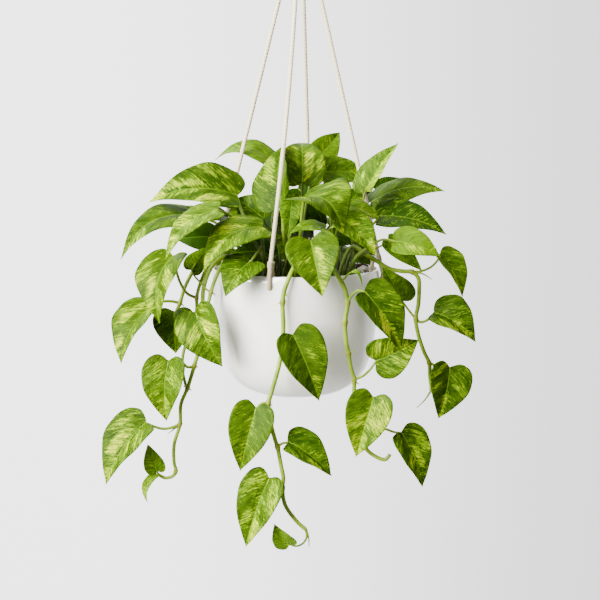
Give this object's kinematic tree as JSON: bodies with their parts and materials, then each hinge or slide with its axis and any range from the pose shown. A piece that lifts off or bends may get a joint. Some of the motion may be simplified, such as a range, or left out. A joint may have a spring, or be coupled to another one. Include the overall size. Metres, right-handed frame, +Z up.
{
  "type": "hanging potted pothos",
  "caption": "Trailing heart-leaved house plant with yellow-streaked leaves in a round white glazed bowl, hung by cords from a steel ring.",
  "frame": {"origin": "the point inside the top of the hanging ring where a hook bears", "axes": "+Z up, +X to the right of a viewer who stands on the -Y side, as in the picture"},
  "size_m": [0.439, 0.2774, 0.7889],
  "materials": {
    "steel": "smooth bright wire",
    "cord": "twisted off-white cotton",
    "glaze": "white gloss glaze",
    "soil": "damp crumbly potting soil",
    "leaf": "waxy green leaf with yellow and cream streaks"
  },
  "bodies": {
    "root": {"ring": "steel", "cord_gather": "cord", "cord_front": "cord", "cord_right": "cord", "cord_back": "cord", "cord_left": "cord", "pot": "glaze", "soil": "soil", "vine_front": "leaf", "vine_mid_right": "leaf", "vine_right": "leaf", "vine_left_a": "leaf", "vine_left_b": "leaf", "vine_left_c": "leaf", "vine_left_d": "leaf", "vine_rear_left": "leaf", "vine_rear_right": "leaf", "crown_left_high": "leaf", "crown_left_back": "leaf", "crown_left_side": "leaf", "crown_left_front": "leaf", "crown_mid": "leaf", "crown_mid_back": "leaf", "crown_mid_right": "leaf", "crown_front": "leaf", "crown_right_back": "leaf", "crown_right": "leaf", "crown_right_front": "leaf", "crown_rear_left": "leaf", "crown_rear_mid": "leaf", "crown_rear_right": "leaf"}
  },
  "joints": []
}
